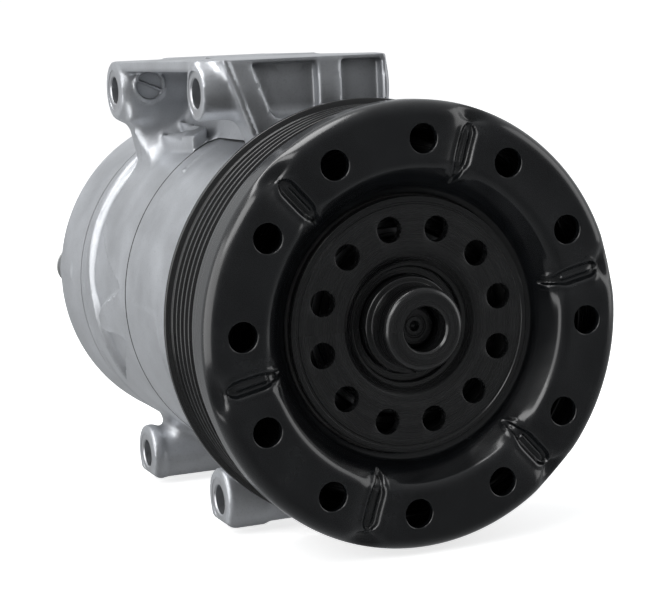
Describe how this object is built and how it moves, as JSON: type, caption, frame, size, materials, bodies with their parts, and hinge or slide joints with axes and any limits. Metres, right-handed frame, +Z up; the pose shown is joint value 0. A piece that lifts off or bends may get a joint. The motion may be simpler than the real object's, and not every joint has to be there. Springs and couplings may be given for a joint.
{
  "type": "automotive air conditioning compressor",
  "caption": "Car air-conditioning compressor with a ribbed belt pulley, die-cast aluminium housings, side-bolted mounting ears and a swash-plate piston mechanism inside.",
  "frame": {"origin": "on the resting plane under the lower lugs, below the shaft axis and midway along the length", "axes": "+Z up, the shaft along Y with the pulley facing -Y, mounting bolts along X"},
  "size_m": [0.1256, 0.2002, 0.1397],
  "materials": {
    "cast_aluminium": "die-cast, lightly shot-blasted",
    "turned_aluminium": "turned and anodised",
    "black_coat": "satin black electro-coat on pressed and turned steel",
    "steel": "zinc plated or ground",
    "dark_steel": "phosphated",
    "bronze": "sintered bearing layer",
    "rubber": "moulded",
    "black_plastic": "moulded glass-filled nylon"
  },
  "bodies": {
    "housing": {"bearing_inner_ring": "steel", "bearing_snap_ring": "dark_steel", "control_valve": "steel", "cylinder_block": "cast_aluminium", "discharge_reed": "steel", "front_gasket": "dark_steel", "front_housing": "cast_aluminium", "front_radial_bearing": "steel", "front_shoe_1": "steel", "front_shoe_2": "steel", "front_shoe_3": "steel", "front_shoe_4": "steel", "front_shoe_5": "steel", "front_thrust_bearing": "steel", "piston_1": "turned_aluminium", "piston_2": "turned_aluminium", "piston_3": "turned_aluminium", "piston_4": "turned_aluminium", "piston_5": "turned_aluminium", "rear_housing": "cast_aluminium", "rear_radial_bearing": "steel", "rear_shoe_1": "steel", "rear_shoe_2": "steel", "rear_shoe_3": "steel", "rear_shoe_4": "steel", "rear_shoe_5": "steel", "relief_valve": "steel", "retainer_gasket": "dark_steel", "seal_retainer": "dark_steel", "shaft_seal": "rubber", "suction_reed": "steel", "through_bolt_1": "steel", "through_bolt_2": "steel", "through_bolt_3": "steel", "through_bolt_4": "steel", "through_bolt_5": "steel", "valve_connector": "black_plastic", "valve_plate": "dark_steel"},
    "pulley": {"pulley": "black_coat", "front_plate": "black_coat", "damper_ring": "rubber", "bearing_outer_ring": "steel", "bearing_front_shield": "rubber", "bearing_rear_shield": "rubber"},
    "shaft": {"hub_disc": "black_coat", "hub": "black_coat", "drive_shaft": "steel", "lug_plate": "dark_steel", "swash_plate": "bronze", "hinge_pin": "steel", "return_spring": "steel"},
    "bearing_cage": {"bearing_ball_cage": "steel"}
  },
  "joints": [
    {"name": "pulley_spin", "type": "hinge", "parent": "housing", "child": "pulley", "pos_m": [0, -0.0719, 0.0643], "axis": [0, 1, 0], "continuous": true},
    {"name": "shaft_spin", "type": "hinge", "parent": "housing", "child": "shaft", "pos_m": [0, -0.0359, 0.0643], "axis": [0, 1, 0], "continuous": true},
    {"name": "cage_spin", "type": "hinge", "parent": "housing", "child": "bearing_cage", "pos_m": [0, -0.0719, 0.0643], "axis": [0, 1, 0], "continuous": true}
  ],
  "couplings": [
    {"joint": "shaft_spin", "follows": "pulley_spin", "ratio": 1},
    {"joint": "cage_spin", "follows": "pulley_spin", "ratio": 0.565}
  ]
}
